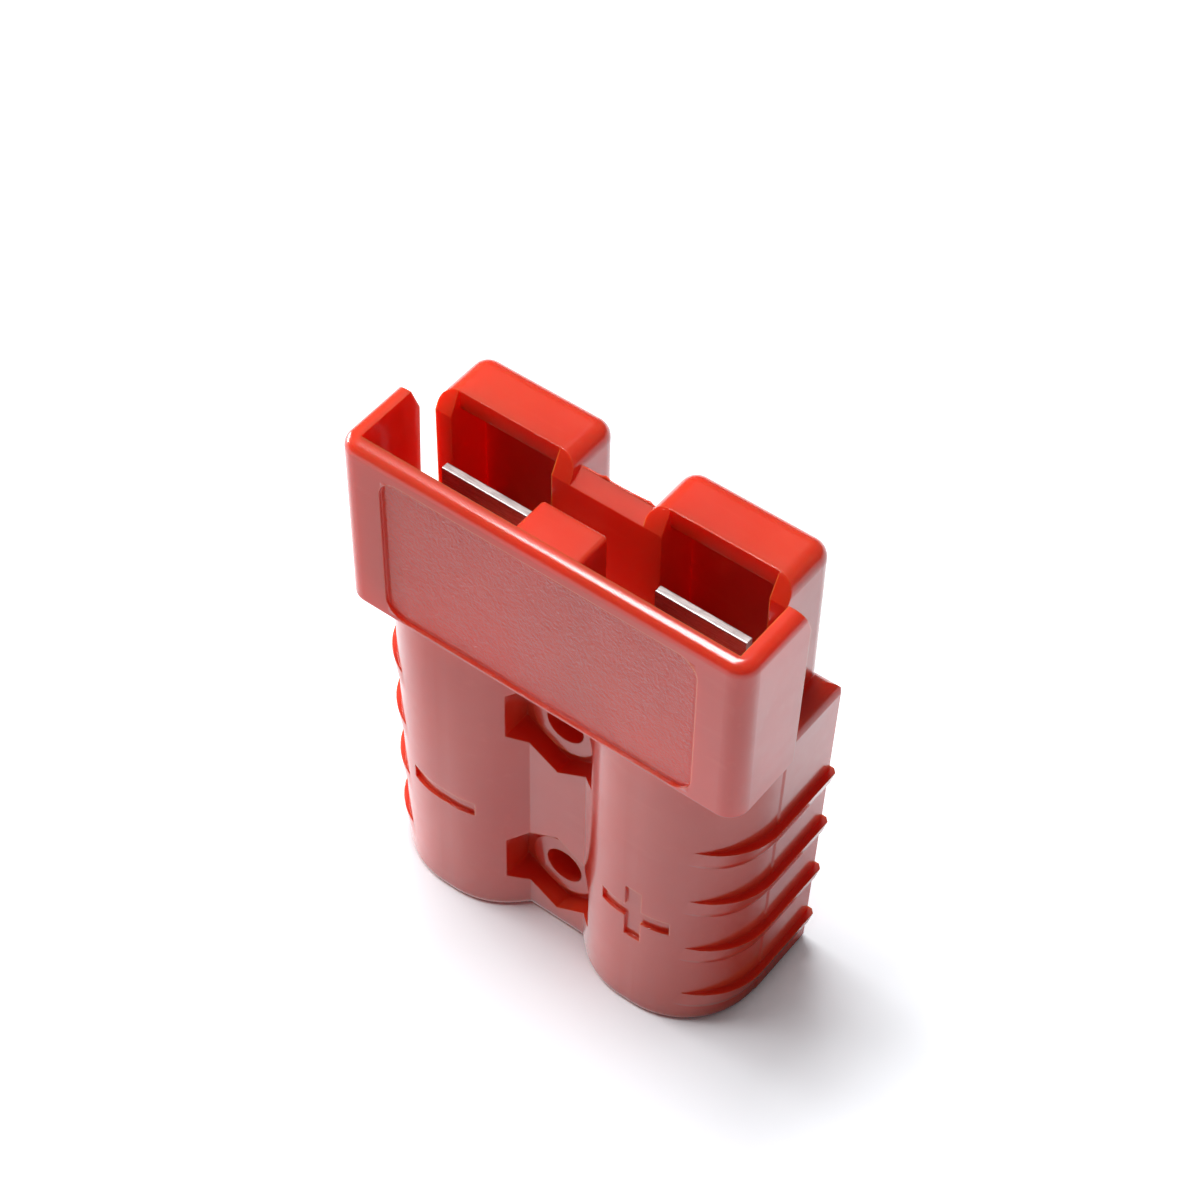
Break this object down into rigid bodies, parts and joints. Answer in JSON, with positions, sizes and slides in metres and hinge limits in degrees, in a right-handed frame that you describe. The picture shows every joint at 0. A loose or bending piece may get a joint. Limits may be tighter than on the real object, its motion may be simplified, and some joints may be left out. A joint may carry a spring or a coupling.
{
  "type": "genderless power connector housing",
  "caption": "Red two-pole genderless power connector housing with a hood, two contact towers and leaf springs, without contacts.",
  "frame": {"origin": "point on the cable-end face, midway between the poles and in the plane where two mated halves touch", "axes": "+Z along the plugging direction, +X towards the positive pole, -Y towards the hood's front"},
  "size_m": [0.0364, 0.0144, 0.048],
  "materials": {
    "red_plastic": "semi-gloss moulded",
    "spring_steel": "bright rolled"
  },
  "bodies": {
    "root": {"housing": "red_plastic", "negative_spring": "spring_steel", "positive_spring": "spring_steel"}
  },
  "joints": []
}
